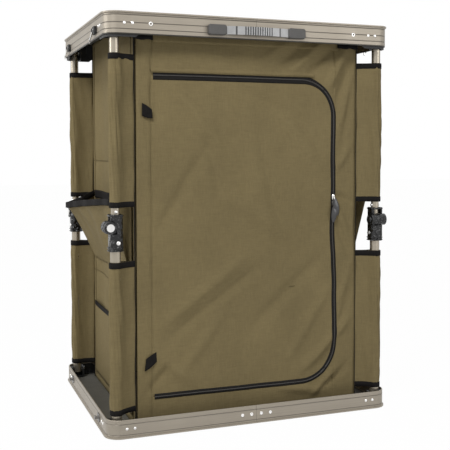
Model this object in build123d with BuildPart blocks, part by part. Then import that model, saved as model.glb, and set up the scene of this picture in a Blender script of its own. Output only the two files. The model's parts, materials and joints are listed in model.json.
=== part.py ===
from build123d import *
import os
from math import sqrt

# Folding camping cupboard: two aluminium trays on four folding legs, with a
# cloth cabinet between them. Millimetres, front towards -Y, floor at Z = 0.

os.makedirs("parts", exist_ok=True)

# Overall sizes of the standing cupboard, over the faces of the tray rails
WIDTH = 600.0
DEPTH = 464.0
HEIGHT = 801.5
BASE_RAIL = 35.4
TOP_RAIL = 42.2
CORNER_R = 28.0

# Tray rail section
RAIL_WALL = 2.2
LIP_OUT = 2.5
LIP_HEIGHT = 3.6
FLANGE_IN = 12.0
FLANGE_THICK = 1.9
LEDGE_IN = 6.0
LEDGE_THICK = 1.5
GROOVE_DEEP = 0.6
GROOVE_WIDE = 1.6
BASE_GROOVES = (6.5, 27.0)
TOP_GROOVES = (6.5, 20.5, 32.5)
SEAM = 0.4
PANEL_THICK = 5.0
PANEL_STEP = 1.0
FIT = 0.1
GAP = 0.3

# Folding legs
LEG_INSET = 21.0
LOWER_TUBE_R = 10.0
UPPER_TUBE_R = 9.0
STUB_R = 8.0
STUB_LENGTH = 58.0
TUBE_WALL = 1.3
TUBE_END = 6.0
BASE_PIVOT_Z = 26.0
PIVOT_OFFSET = 12.0
CLOSED_GAP = 1.9
PIN_R = 3.0
PIN_HEAD_R = 4.6
PIN_HEAD = 1.4
RUNNING = 0.05

# Knuckle between the two halves of a leg
EAR_R = 12.0
COLUMN_HALF = 12.8
COLUMN_BEVEL = 5.0
SOCKET_DROP = 44.0
FORK_RISE = 25.0
SADDLE_RISE = 11.7
TONGUE_HALF = 8.0
EAR_OUTER = 14.6
EAR_INNER = 19.0
KNUCKLE_PIN_R = 4.0
DISC_R = 7.5
DISC_THICK = 1.0
SOCKET_STOP = 14.0
BUTTON_R = 6.5
BUTTON_LENGTH = 6.6
BUTTON_OUT = 3.6
BUTTON_TRAVEL = 3.0
FLAT_GAP = 0.3

# Corner brackets and fasteners
BRACKET_WALL = 2.4
BRACKET_ARM = 70.0
BRACKET_FLOOR = 2.0
BASE_BRACKET_RISE = 31.5
TOP_BRACKET_DROP = 4.8
CHEEK_THICK = 4.0
CHEEK_GAP = 0.4
ARM_TAPER = 12.0
ARM_TAPER_RISE = 9.0

# Splice plates behind the two seams of each tray
SPLICE_LENGTH = 84.0
SPLICE_HEIGHT = 16.0
SPLICE_THICK = 2.5
BASE_SPLICE_Z = 20.0
TOP_SPLICE_DROP = 22.0

# Carrying handle
HANDLE_DROP = 26.5
HANDLE_HEIGHT = 20.0
CAP_LENGTH = 37.0
CAP_THICK = 9.5
CAP_BEVEL = 3.0
GRIP_LENGTH = 130.0
GRIP_THICK = 3.2
GRIP_RISE = 10.5
GRIP_RIBS = 12
RIB_PITCH = 5.0
RIB_DEEP = 0.8

# Side latches
LATCH_Y = 146.0
LATCH_DROP = 26.5
LATCH_BODY = (22.0, 15.0, 7.0)
LATCH_BEVEL = 3.0
HOOK_LENGTH = 33.5
HOOK_PLATE = 1.6
HOOK_TILT = 60.0
HOOK_WIDE = 7.0
HOOK_PIN_R = 2.0
STUD_R = 3.0
STUD_HEAD_R = 4.6
STUD_LONG = 3.2
CATCH_PLATE = 1.4

# Cloth cabinet
CABINET_INSET_X = 60.0
CABINET_INSET_Y = 32.0
CLOTH = 1.2
HEM = 2.0
HEM_HEIGHT = 12.0
SIDE_FOLDS = 6
BACK_FOLDS = 8
SHELF_FROM_KNUCKLE = (-135.0, 121.0)
SHELF_THICK = 3.0
SHELF_SAG = 6.0
WALL_WAVE = 2.0

# Door in the front cloth
DOOR_MARGIN_LEFT = 34.5
DOOR_MARGIN_RIGHT = 54.5
DOOR_BOTTOM = 65.0
DOOR_DROP = 113.5
DOOR_R = 74.0
DOOR_SLIT = 0.3
ZIP_WIDE = 10.5
ZIP_THICK = 1.2
ZIP_START = 4.0
SLIDER_ABOVE_KNUCKLE = 41.0
SLIDER_LENGTH = 11.0
SLIDER_WIDE = 9.0
SLIDER_THICK = 4.0
PULL_LENGTH = 36.0
PULL_WIDE = 10.0
PULL_THICK = 1.6
BAIL_LENGTH = 6.0
BAIL_WIDE = 3.0
TIE_FROM_SEAM = 13.5
TIE_FROM_ENDS = (66.5, 62.0)
TIE_SIZE = (10.0, 27.0, 3.0)
TIE_SLANT = -32.0

# Pockets on the side walls
BELLOWS_OUT = 68.0
BELLOWS_RISE = 47.0
BELLOWS_FALL = 103.0
BELLOWS_FROM_LEG = 27.0
BELLOWS_CORNER = 20.0
POCKET_FOOT = 4.0
FLAT_POCKET_BELOW_KNUCKLE = 205.0
FLAT_POCKET_BOTTOM = 24.0
FLAT_POCKET_OUT = 3.5
FLAT_POCKET_FROM_LEG = 33.0

# Sleeves round the legs
SLEEVE_CLOTH = 1.2
SLEEVE_EASE = 0.6
SLEEVE_SIDES = 12
LOWER_SLEEVE_FOOT = 41.0
LOWER_SLEEVE_GAP = 66.0
UPPER_SLEEVE_GAP = 37.0
UPPER_SLEEVE_DROP = 75.5

# Values that follow from the sizes above
open_gap = HEIGHT - TOP_RAIL - BASE_RAIL
half_leg = (open_gap - CLOSED_GAP) / 2 + PIVOT_OFFSET
knuckle_z = BASE_PIVOT_Z + half_leg
top_pivot_z = BASE_PIVOT_Z + 2 * half_leg
leg_x = WIDTH / 2 - LEG_INSET
leg_y = DEPTH / 2 - LEG_INSET
slot_height = PANEL_THICK + 2 * FIT
ledge_z = FLANGE_THICK + slot_height
seat_z = ledge_z + LEDGE_THICK + FIT
panel_z = FLANGE_THICK + FIT
inner_wall = LEG_INSET - RAIL_WALL
cabinet_x = WIDTH / 2 - CABINET_INSET_X
cabinet_y = DEPTH / 2 - CABINET_INSET_Y
door_left = DOOR_MARGIN_LEFT - cabinet_x
door_right = cabinet_x - DOOR_MARGIN_RIGHT
door_top = HEIGHT - DOOR_DROP
slider_z = knuckle_z + SLIDER_ABOVE_KNUCKLE
tie_heights = (DOOR_BOTTOM + TIE_FROM_ENDS[0], door_top - TIE_FROM_ENDS[1])
shelf_heights = tuple(knuckle_z + rise for rise in SHELF_FROM_KNUCKLE)
bellows_top = knuckle_z + BELLOWS_RISE
bellows_bottom = knuckle_z - BELLOWS_FALL
bellows_half = leg_y - BELLOWS_FROM_LEG
flat_pocket_top = knuckle_z - FLAT_POCKET_BELOW_KNUCKLE
flat_pocket_half = leg_y - FLAT_POCKET_FROM_LEG
lower_sleeve = (LOWER_SLEEVE_FOOT, knuckle_z - LOWER_SLEEVE_GAP)
upper_sleeve = (knuckle_z + UPPER_SLEEVE_GAP, HEIGHT - UPPER_SLEEVE_DROP)
handle_z = HEIGHT - HANDLE_DROP
latch_pivot_z = HEIGHT - LATCH_DROP
handle_front = DEPTH / 2 + GRIP_RISE + GRIP_THICK
back_reach = max(DEPTH / 2 + LIP_OUT, leg_y + PIVOT_OFFSET + EAR_R)
back_front_shift = (handle_front - back_reach) / 2

# The origin is the middle of the whole footprint, handle included
to_origin = Location((0, back_front_shift, 0))


def save(name, shape):
    """Moves a finished piece to the shared origin and writes it as one node."""
    placed = shape.moved(to_origin)
    placed.label = name
    export_step(placed, f"parts/{name}.step")


# A leg's own frame: X is the way it folds, -Y is outwards along its pivots.
# Each corner is the one before it turned a quarter, so no two legs cross.
corners = {
    "front_left": Location((-leg_x, -leg_y, 0), (0, 0, 0)),
    "front_right": Location((leg_x, -leg_y, 0), (0, 0, 90)),
    "back_right": Location((leg_x, leg_y, 0), (0, 0, 180)),
    "back_left": Location((-leg_x, leg_y, 0), (0, 0, 270)),
}
turned = ("front_right", "back_left")


def rail_half(height, grooves, upside_down):
    """Left half of a tray frame: one extrusion bent round two corners."""
    base = HEIGHT if upside_down else 0.0
    up = -1 if upside_down else 1
    section = [(LIP_OUT, 0.0), (LIP_OUT, LIP_HEIGHT - 1.0), (0.0, LIP_HEIGHT)]
    for groove in grooves:
        section.append((0.0, groove - GROOVE_WIDE / 2))
        section.append((-GROOVE_DEEP, groove))
        section.append((0.0, groove + GROOVE_WIDE / 2))
    section += [
        (0.0, height - 0.6),
        (-0.6, height),
        (-RAIL_WALL, height),
        (-RAIL_WALL, ledge_z + LEDGE_THICK),
        (-LEDGE_IN, ledge_z + LEDGE_THICK),
        (-LEDGE_IN, ledge_z),
        (-RAIL_WALL, ledge_z),
        (-RAIL_WALL, FLANGE_THICK),
        (-FLANGE_IN, FLANGE_THICK),
        (-FLANGE_IN, 0.0),
    ]
    x_end, y_end = WIDTH / 2, DEPTH / 2
    with BuildPart() as rail:
        with BuildLine() as path:
            Line((-SEAM / 2, -y_end, base), (-x_end + CORNER_R, -y_end, base))
            RadiusArc((-x_end + CORNER_R, -y_end, base), (-x_end, -y_end + CORNER_R, base), CORNER_R)
            Line((-x_end, -y_end + CORNER_R, base), (-x_end, y_end - CORNER_R, base))
            RadiusArc((-x_end, y_end - CORNER_R, base), (-x_end + CORNER_R, y_end, base), CORNER_R)
            Line((-x_end + CORNER_R, y_end, base), (-SEAM / 2, y_end, base))
        start = Plane(origin=(-SEAM / 2, -y_end, base), x_dir=(0, -1, 0), z_dir=(-1, 0, 0))
        with BuildSketch(start):
            with BuildLine():
                Polyline([(x, up * y) for x, y in section], close=True)
            make_face()
        sweep(path=path.wire())
    return rail.part


def outward_plane(point, direction, z):
    """Plane on the outside of a rail, looking outwards."""
    return Plane(
        origin=(point[0], point[1], z),
        x_dir=(-direction[1], direction[0], 0),
        z_dir=(direction[0], direction[1], 0),
    )


def tray(name, height, grooves, upside_down, splice_z):
    """Rails, panel and splice plates of one tray."""
    base = HEIGHT if upside_down else 0.0
    up = -1 if upside_down else 1
    rail = rail_half(height, grooves, upside_down)
    with BuildPart() as other_rail:
        mirror(rail, about=Plane.YZ)
    save(f"{name}_rail_left", rail)
    save(f"{name}_rail_right", other_rail.part)

    with BuildPart() as panel:
        with BuildSketch(Plane.XY.offset(base + up * panel_z)):
            inset = RAIL_WALL + GAP
            RectangleRounded(WIDTH - 2 * inset, DEPTH - 2 * inset, CORNER_R - inset)
        extrude(amount=up * PANEL_THICK)
        # the middle of the board stands a little prouder than its edge under the flange
        with BuildSketch(Plane.XY.offset(base + up * panel_z)):
            inset = FLANGE_IN + GAP
            RectangleRounded(WIDTH - 2 * inset, DEPTH - 2 * inset, CORNER_R - inset)
        extrude(amount=-up * PANEL_STEP)
    save(f"{name}_panel", panel.part)

    with BuildPart() as splices:
        for sy in (-1, 1):
            plate = outward_plane((0, sy * (DEPTH / 2 - RAIL_WALL - FIT)), (0, sy), splice_z)
            with BuildSketch(plate):
                Rectangle(SPLICE_LENGTH, SPLICE_HEIGHT)
            extrude(amount=-SPLICE_THICK)
    save(f"{name}_splices", splices.part)


def pivot_pin():
    """Pin through a bracket and a leg's end, on the leg frame's Y axis."""
    outer = inner_wall - BRACKET_WALL
    inner = LOWER_TUBE_R + CHEEK_GAP + CHEEK_THICK + FIT
    with BuildPart() as pin:
        with BuildSketch(Plane.XZ.offset(-inner)):
            Circle(PIN_R)
        extrude(amount=outer + inner)
        with BuildSketch(Plane.XZ.offset(-inner)):
            Circle(PIN_HEAD_R)
        extrude(amount=-PIN_HEAD)
    return pin.part


def corner_bracket(rise, pivot_rise):
    """Moulded bracket in a tray corner, seated at Z = 0 in the leg's own frame."""
    wall = inner_wall - FIT
    end = BRACKET_ARM - LEG_INSET
    span = wall + end
    middle = (end - wall) / 2
    outer_r = CORNER_R - RAIL_WALL - FIT
    cheek_y = LOWER_TUBE_R + CHEEK_GAP
    cheek_end = LOWER_TUBE_R + 1.5
    with BuildPart() as bracket:
        with BuildSketch() as outline:
            with BuildLine():
                Polyline((end, -wall), (-wall, -wall), (-wall, end), (end, end), close=True)
            make_face()
            fillet(outline.vertices().sort_by(lambda v: v.X + v.Y)[0], outer_r)
        extrude(amount=rise)
        with BuildSketch(Plane.XY) as inside:
            with BuildLine():
                edge = -wall + BRACKET_WALL
                Polyline((end + 1, edge), (edge, edge), (edge, end + 1), (end + 1, end + 1), close=True)
            make_face()
            fillet(inside.vertices().sort_by(lambda v: v.X + v.Y)[0], outer_r - BRACKET_WALL)
        extrude(amount=rise, mode=Mode.SUBTRACT)
        # floor plate under the leg, and a foot along each arm
        with BuildSketch() as floor:
            with Locations((middle, middle)):
                Rectangle(span, span)
            fillet(floor.vertices().sort_by(lambda v: v.X + v.Y)[0], outer_r)
            with BuildLine():
                foot = -wall + 8.0
                Polyline((end + 1, foot), (cheek_end, foot), (cheek_end, cheek_y + CHEEK_THICK),
                         (foot, cheek_y + CHEEK_THICK), (foot, end + 1), (end + 1, end + 1), close=True)
            make_face(mode=Mode.SUBTRACT)
        extrude(amount=BRACKET_FLOOR)
        # cheeks that carry the pivot pin
        with BuildSketch(Plane.XZ.offset(cheek_y)) as outer_cheek:
            with BuildLine():
                Polyline((-8, 0), (cheek_end, 0), (cheek_end, rise - 3), (cheek_end - 3, rise), (-8, rise), close=True)
            make_face()
        extrude(amount=wall - cheek_y - BRACKET_WALL / 2)
        with BuildSketch(Plane.XZ.offset(-cheek_y)) as inner_cheek:
            with BuildLine():
                Polyline((-wall + 1, 0), (cheek_end, 0), (cheek_end, rise - 5), (cheek_end - 5, rise),
                         (-wall + 1, rise), close=True)
            make_face()
        extrude(amount=-CHEEK_THICK)
        # the outer cheek stays inside the rounded corner
        with BuildSketch() as keep:
            with BuildLine():
                Polyline((end, -wall), (-wall, -wall), (-wall, end), (end, end), close=True)
            make_face()
            fillet(keep.vertices().sort_by(lambda v: v.X + v.Y)[0], outer_r)
        extrude(amount=rise, mode=Mode.INTERSECT)
        # gussets brace the arms
        for place in (Plane(origin=(-wall + 1, (cheek_y + CHEEK_THICK + end) / 2, 0), x_dir=(1, 0, 0), z_dir=(0, 1, 0)),
                      Plane(origin=((cheek_end + end) / 2 + 3, -wall + 1, 0), x_dir=(0, 1, 0), z_dir=(-1, 0, 0))):
            with BuildSketch(place):
                with BuildLine():
                    down = -1 if place.y_dir.Z < 0 else 1
                    Polyline((0, 0), (6.5, 0), (0.5, down * rise * 0.6), (0, down * rise * 0.6), close=True)
                make_face()
            extrude(amount=1.0, both=True)
        # arm ends taper, so that a neighbour's folded knuckle passes
        for place in (Plane.YZ.offset(-wall - 1), Plane.XZ.offset(wall + 1)):
            with BuildSketch(place):
                with BuildLine():
                    Polyline((end - ARM_TAPER, rise), (end, rise - ARM_TAPER_RISE), (end + 1, rise + 1), close=True)
                make_face()
            depth = BRACKET_WALL + 2
            extrude(amount=depth if place.z_dir.X > 0.5 else -depth, mode=Mode.SUBTRACT)
        # bore for the pivot pin, blind towards the rail
        with BuildSketch(Plane.XZ.offset(inner_wall - BRACKET_WALL)):
            with Locations((0, pivot_rise)):
                Circle(PIN_R + RUNNING)
        extrude(amount=-(inner_wall + cheek_y + CHEEK_THICK), mode=Mode.SUBTRACT)
    return bracket.part


def brackets(name, seat, up, rise, pivot_z):
    """The four corner brackets of one tray, upright or hanging."""
    piece = corner_bracket(rise, up * (pivot_z - seat))
    if up < 0:
        piece = piece.mirror(Plane.XY)
    with BuildPart() as group:
        for place in corners.values():
            add(piece.moved(place * Location((0, 0, seat))))
    save(name, group.part)


top_seat = HEIGHT - seat_z
top_rise = top_seat - (HEIGHT - TOP_RAIL - TOP_BRACKET_DROP)
tray("base", BASE_RAIL, BASE_GROOVES, False, BASE_SPLICE_Z)
tray("top", TOP_RAIL, TOP_GROOVES, True, HEIGHT - TOP_SPLICE_DROP)
brackets("base_brackets", seat_z, 1, BASE_BRACKET_RISE - seat_z, BASE_PIVOT_Z)
brackets("top_brackets", top_seat, -1, top_rise, top_pivot_z)
with BuildPart() as base_pins:
    for place in corners.values():
        add(pivot_pin().moved(place * Location((0, 0, BASE_PIVOT_Z))))
save("base_pivot_pins", base_pins.part)


# Knuckle pieces, with the knuckle's pivot height at Z = 0 in the leg's frame
flat_x = -(PIVOT_OFFSET - FLAT_GAP)
pivot_circle = EAR_R + GAP


def column(low, high):
    """Moulded column round a tube, its far corners bevelled, flat where two halves meet."""
    with BuildPart() as bar:
        with BuildSketch(Plane.XY.offset(low)) as outline:
            with Locations(((COLUMN_HALF + flat_x) / 2, 0)):
                Rectangle(COLUMN_HALF - flat_x, 2 * COLUMN_HALF)
            chamfer(outline.vertices().group_by(Axis.X)[-1], COLUMN_BEVEL)
            chamfer(outline.vertices().group_by(Axis.X)[0], COLUMN_BEVEL / 2)
        extrude(amount=high - low)
    return bar.part


def pivot_disc(radius, outer, inner, x=-PIVOT_OFFSET, z=0.0):
    """Round bar along the pivot: outer towards -Y, inner towards +Y."""
    with BuildPart() as disc:
        with BuildSketch(Plane.XZ.offset(outer)):
            with Locations((x, z)):
                Circle(radius)
        extrude(amount=-(outer + inner))
    return disc.part


with BuildPart() as knuckle_socket:
    add(column(-SOCKET_DROP, -FLAT_GAP / 2))
    # the ears of the fork turn in these two notches
    with BuildSketch(Plane.XZ):
        with Locations((-PIVOT_OFFSET, 0)):
            Rectangle(2 * pivot_circle, 2 * pivot_circle)
    extrude(amount=COLUMN_HALF + 1, both=True, mode=Mode.SUBTRACT)
    # tongue, with the web between the notches
    add(pivot_disc(EAR_R, TONGUE_HALF, TONGUE_HALF))
    with BuildSketch(Plane.XZ):
        with BuildLine():
            Polyline((flat_x, -FLAT_GAP / 2), (0, -FLAT_GAP / 2), (EAR_R, -pivot_circle - EAR_R / 2),
                     (flat_x, -pivot_circle - EAR_R / 2), close=True)
        make_face()
    extrude(amount=TONGUE_HALF, both=True)
    with BuildSketch(Plane.XY.offset(-SOCKET_DROP)):
        Circle(LOWER_TUBE_R + RUNNING)
    extrude(amount=SOCKET_DROP - SOCKET_STOP, mode=Mode.SUBTRACT)
    add(pivot_disc(KNUCKLE_PIN_R + RUNNING, EAR_R, EAR_R), mode=Mode.SUBTRACT)

with BuildPart() as knuckle_fork:
    add(column(FLAT_GAP / 2, FORK_RISE))
    # the tongue turns in this notch, and the stub stands on the saddle beside it
    with BuildSketch(Plane.XZ):
        with Locations((-PIVOT_OFFSET, 0)):
            Rectangle(2 * pivot_circle, 2 * SADDLE_RISE)
    extrude(amount=TONGUE_HALF + GAP, both=True, mode=Mode.SUBTRACT)
    with BuildSketch(Plane.XY.offset(SADDLE_RISE)):
        Circle(STUB_R + RUNNING)
        with Locations((-COLUMN_HALF, 0)):
            Rectangle(2 * COLUMN_HALF, 2 * (STUB_R + RUNNING))
    extrude(amount=FORK_RISE, mode=Mode.SUBTRACT)
    # ears
    ear_gap = TONGUE_HALF + GAP
    for outer, inner in ((EAR_OUTER, -ear_gap), (-ear_gap, EAR_INNER)):
        add(pivot_disc(EAR_R, outer, inner))
    add(pivot_disc(KNUCKLE_PIN_R + RUNNING, 30, 30), mode=Mode.SUBTRACT)
    button_bore = BUTTON_LENGTH - BUTTON_OUT + BUTTON_TRAVEL + FIT
    add(pivot_disc(BUTTON_R + RUNNING, -(EAR_INNER - button_bore), EAR_INNER + 1), mode=Mode.SUBTRACT)

# Both pins of an upper tube: the knuckle's, with its silver disc, and the top pivot's
with BuildPart() as leg_pins:
    pin_inner = EAR_INNER - button_bore
    add(pivot_disc(KNUCKLE_PIN_R, EAR_OUTER + FIT, pin_inner))
    add(pivot_disc(DISC_R, EAR_OUTER + FIT + DISC_THICK, -(EAR_OUTER + FIT)))
    add(pivot_pin().moved(Location((0, 0, top_pivot_z - knuckle_z))))

with BuildPart() as knuckle_button:
    seat = EAR_INNER + BUTTON_OUT - BUTTON_LENGTH
    add(pivot_disc(BUTTON_R, -seat, EAR_INNER + BUTTON_OUT))

with BuildPart() as lower_tube:
    with BuildSketch(Plane.XY.offset(BASE_PIVOT_Z - TUBE_END)):
        Circle(LOWER_TUBE_R)
        Circle(LOWER_TUBE_R - TUBE_WALL, mode=Mode.SUBTRACT)
    extrude(amount=half_leg + TUBE_END - SOCKET_STOP - FIT)
    add(pivot_disc(PIN_R + RUNNING, 20, 20, 0, BASE_PIVOT_Z), mode=Mode.SUBTRACT)

with BuildPart() as upper_tube:
    stub_low = knuckle_z + SADDLE_RISE + RUNNING
    swage = knuckle_z + STUB_LENGTH
    tube_top = top_pivot_z + TUBE_END
    with BuildSketch(Plane.XZ):
        with BuildLine():
            Polyline(
                (STUB_R - TUBE_WALL, stub_low), (STUB_R, stub_low), (STUB_R, swage),
                (UPPER_TUBE_R, swage + 3), (UPPER_TUBE_R, tube_top), (STUB_R - TUBE_WALL, tube_top), close=True)
        make_face()
    revolve(axis=Axis.Z)
    add(pivot_disc(PIN_R + RUNNING, 20, 20, 0, top_pivot_z), mode=Mode.SUBTRACT)

for corner, place in corners.items():
    lift = place * Location((0, 0, knuckle_z))
    save(f"lower_tube_{corner}", lower_tube.part.moved(place))
    save(f"upper_tube_{corner}", upper_tube.part.moved(place))
    save(f"knuckle_socket_{corner}", knuckle_socket.part.moved(lift))
    save(f"knuckle_fork_{corner}", knuckle_fork.part.moved(lift))
    save(f"leg_pins_{corner}", leg_pins.part.moved(lift))
    save(f"knuckle_button_{corner}", knuckle_button.part.moved(lift))

# Handle on the front rail of the top tray: two end caps and a ribbed strap
rail_front = -DEPTH / 2
handle_plane = Plane(origin=(0, rail_front - GAP / 3, handle_z), x_dir=(1, 0, 0), z_dir=(0, -1, 0))
grip_half = GRIP_LENGTH / 2
tenon = 6.0

with BuildPart() as handle_caps:
    for side in (-1, 1):
        with BuildSketch(handle_plane) as outline:
            with Locations((side * (grip_half + CAP_LENGTH / 2), 0)):
                Rectangle(CAP_LENGTH, HANDLE_HEIGHT)
            chamfer(outline.vertices(), CAP_BEVEL)
        extrude(amount=CAP_THICK)
        chamfer(handle_caps.faces().sort_by(Axis.Y)[0].edges(), CAP_BEVEL / 2)
    # the strap's ends run in these slots
    with BuildSketch(Plane.XY.offset(handle_z)):
        with Locations((0, rail_front - CAP_THICK / 2 - GAP / 3)):
            Rectangle(GRIP_LENGTH + 4 * tenon, GRIP_THICK + 2 * GAP)
    extrude(amount=HANDLE_HEIGHT / 2 - 1.5, both=True, mode=Mode.SUBTRACT)
save("handle_caps", handle_caps.part)

with BuildPart() as handle_grip:
    strap_y = rail_front - CAP_THICK / 2 - GAP / 3 + GRIP_THICK / 2
    crown_y = rail_front - GRIP_RISE
    strap_end = grip_half + tenon
    with BuildSketch(Plane.XY.offset(handle_z)) as strap:
        with BuildLine():
            inner = Polyline((strap_end, strap_y), (grip_half, strap_y))
            bow = ThreePointArc((grip_half, strap_y), (0, crown_y), (-grip_half, strap_y))
            Polyline((-grip_half, strap_y), (-strap_end, strap_y), (-strap_end, strap_y - GRIP_THICK),
                     (-grip_half, strap_y - GRIP_THICK))
            ThreePointArc((-grip_half, strap_y - GRIP_THICK), (0, crown_y - GRIP_THICK),
                          (grip_half, strap_y - GRIP_THICK))
            Polyline((grip_half, strap_y - GRIP_THICK), (strap_end, strap_y - GRIP_THICK), (strap_end, strap_y))
        make_face()
    extrude(amount=HANDLE_HEIGHT / 2 - 2, both=True)
    for rib in range(GRIP_RIBS):
        x = (rib - (GRIP_RIBS - 1) / 2) * RIB_PITCH
        sag = (crown_y - strap_y) * (x / grip_half) ** 2
        with BuildSketch(Plane.XY.offset(handle_z - HANDLE_HEIGHT / 2)):
            with Locations((x, crown_y - GRIP_THICK - sag)):
                Rectangle(RIB_PITCH * 0.4, 2 * RIB_DEEP)
        extrude(amount=HANDLE_HEIGHT, mode=Mode.SUBTRACT)
save("handle_grip", handle_grip.part)

# Latches: a black housing and a swinging steel hook on each end of the side rails
latch_long, latch_high, latch_out = LATCH_BODY
catch_z = latch_pivot_z - HOOK_LENGTH - (2 * half_leg - 2 * PIVOT_OFFSET)

with BuildPart() as latch_plates:
    for side in (-1, 1):
        for y in (-LATCH_Y, LATCH_Y):
            face = outward_plane((side * (WIDTH / 2 + FIT), y), (side, 0), latch_pivot_z)
            with BuildSketch(face) as outline:
                Rectangle(latch_long, latch_high)
                chamfer(outline.vertices(), LATCH_BEVEL)
            extrude(amount=latch_out)
            with BuildSketch(face.offset(latch_out - HOOK_PLATE - GAP)):
                Rectangle(latch_long + 2, latch_high + 2)
            extrude(amount=HOOK_PLATE + GAP + 1, mode=Mode.SUBTRACT)
            with BuildSketch(face.offset(latch_out - HOOK_PLATE - GAP)):
                Circle(HOOK_PIN_R)
            extrude(amount=HOOK_PLATE + 2 * GAP)
            with BuildSketch(face.offset(latch_out + GAP)):
                Circle(HOOK_PIN_R + 1.6)
            extrude(amount=1.2)
save("latch_plates", latch_plates.part)


def latch_hook(side, tilt):
    """Flat hook hanging from its pivot, then swung by tilt about the pivot."""
    with BuildPart() as hook:
        with BuildSketch(Plane.YZ.offset(latch_out - HOOK_PLATE)):
            with Locations((0, -HOOK_LENGTH / 2)):
                Rectangle(HOOK_WIDE * 0.6, HOOK_LENGTH)
            Circle(HOOK_WIDE / 2)
            with Locations((0, -HOOK_LENGTH)):
                RegularPolygon(STUD_R + GAP + HOOK_PLATE, 8, major_radius=False)
            Circle(HOOK_PIN_R + RUNNING, mode=Mode.SUBTRACT)
            with Locations((0, -HOOK_LENGTH)):
                RegularPolygon(STUD_R + GAP, 8, major_radius=False, mode=Mode.SUBTRACT)
            with Locations((-STUD_R - 2, -HOOK_LENGTH)):
                Rectangle(2 * STUD_R + 4, 2 * (STUD_R + GAP), mode=Mode.SUBTRACT)
        extrude(amount=HOOK_PLATE)
    part = hook.part.rotate(Axis.X, tilt)
    return part if side > 0 else part.mirror(Plane.YZ)


hook_names = {"front_left": (-1, -1), "front_right": (1, -1), "back_right": (1, 1), "back_left": (-1, 1)}
for corner, (sx, sy) in hook_names.items():
    hook = latch_hook(sx, HOOK_TILT)
    save(f"latch_hook_{corner}", hook.moved(Location((sx * (WIDTH / 2 + FIT), sy * LATCH_Y, latch_pivot_z))))

with BuildPart() as catches:
    for side in (-1, 1):
        for y in (-LATCH_Y, LATCH_Y):
            face = outward_plane((side * (WIDTH / 2 + FIT), y), (side, 0), catch_z)
            with BuildSketch(face) as outline:
                Rectangle(latch_long, latch_high)
                chamfer(outline.vertices(), LATCH_BEVEL)
            extrude(amount=CATCH_PLATE)
            with BuildSketch(face.offset(CATCH_PLATE)):
                Circle(STUD_R)
            extrude(amount=latch_out - CATCH_PLATE + GAP)
            with BuildSketch(face.offset(latch_out + GAP)):
                Circle(STUD_HEAD_R)
            extrude(amount=1.2)
save("base_catches", catches.part)

# Cloth cabinet, standing on the base panel and reaching up to the top panel
cloth_low = panel_z + PANEL_THICK + GAP
cloth_high = HEIGHT - cloth_low


def waved_wall(length, folds):
    """Plan of a cloth wall along X, its face at Y = 0, with soft upright folds."""
    step = length / folds
    middle = WALL_WAVE / 2
    with BuildSketch() as plan:
        with BuildLine():
            for side in (0.0, CLOTH):
                for fold in range(folds):
                    left = -length / 2 + fold * step
                    bulge = WALL_WAVE * (fold % 2)
                    ThreePointArc((left, middle + side), (left + step / 2, bulge + side), (left + step, middle + side))
            for x in (-length / 2, length / 2):
                Line((x, middle), (x, middle + CLOTH))
        make_face()
    return plan.sketch


def wall(name, face, length, folds):
    """Upright cloth wall whose outside lies on face, with a doubled hem at both ends."""
    with BuildPart() as sheet:
        with BuildSketch(face):
            add(waved_wall(length, folds))
        extrude(amount=cloth_high - cloth_low)
        for low in (0.0, cloth_high - cloth_low - HEM_HEIGHT):
            with BuildSketch(face.offset(low)):
                with Locations((0, (HEM + WALL_WAVE + CLOTH) / 2)):
                    Rectangle(length, HEM + WALL_WAVE + CLOTH)
            extrude(amount=HEM_HEIGHT)
    save(name, sheet.part)


side_length = 2 * cabinet_y
back_length = 2 * (cabinet_x - HEM - CLOTH - WALL_WAVE - GAP)
left_face = Plane(origin=(-cabinet_x, 0, cloth_low), x_dir=(0, -1, 0), z_dir=(0, 0, 1))
right_face = Plane(origin=(cabinet_x, 0, cloth_low), x_dir=(0, 1, 0), z_dir=(0, 0, 1))
back_face = Plane(origin=(0, cabinet_y, cloth_low), x_dir=(-1, 0, 0), z_dir=(0, 0, 1))
wall("left_wall", left_face, side_length, SIDE_FOLDS)
wall("right_wall", right_face, side_length, SIDE_FOLDS)
wall("back_wall", back_face, back_length, BACK_FOLDS)


def door_outline(grow):
    """Edge of the door, grown outwards on its three zipped sides."""
    right, low, high = door_right + grow, DOOR_BOTTOM - grow, door_top + grow
    r = DOOR_R + grow
    with BuildLine() as edge:
        Line((door_left, high), (right - r, high))
        RadiusArc((right - r, high), (right, high - r), r)
        Line((right, high - r), (right, low + r))
        RadiusArc((right, low + r), (right - r, low), r)
        Line((right - r, low), (door_left, low))
        Line((door_left, low), (door_left, high))
    return edge.line


front_face = Plane(origin=(0, -cabinet_y, 0), x_dir=(1, 0, 0), z_dir=(0, -1, 0))

with BuildPart() as front_surround:
    with BuildSketch(front_face):
        with Locations((0, (cloth_low + cloth_high) / 2)):
            Rectangle(back_length, cloth_high - cloth_low)
        with BuildLine():
            add(door_outline(DOOR_SLIT))
        make_face(mode=Mode.SUBTRACT)
    extrude(amount=-CLOTH)
    for low in (cloth_low, cloth_high - HEM_HEIGHT):
        with BuildSketch(front_face.offset(-CLOTH)):
            with Locations((0, low + HEM_HEIGHT / 2)):
                Rectangle(back_length, HEM_HEIGHT)
        extrude(amount=-HEM)
save("front_surround", front_surround.part)

with BuildPart() as door_panel:
    with BuildSketch(front_face):
        with BuildLine():
            add(door_outline(0))
        make_face()
        with Locations((door_left, (door_top + DOOR_BOTTOM) / 2)):
            Rectangle(2 * DOOR_SLIT, door_top, mode=Mode.SUBTRACT)
    extrude(amount=-CLOTH)
save("door_panel", door_panel.part)

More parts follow.
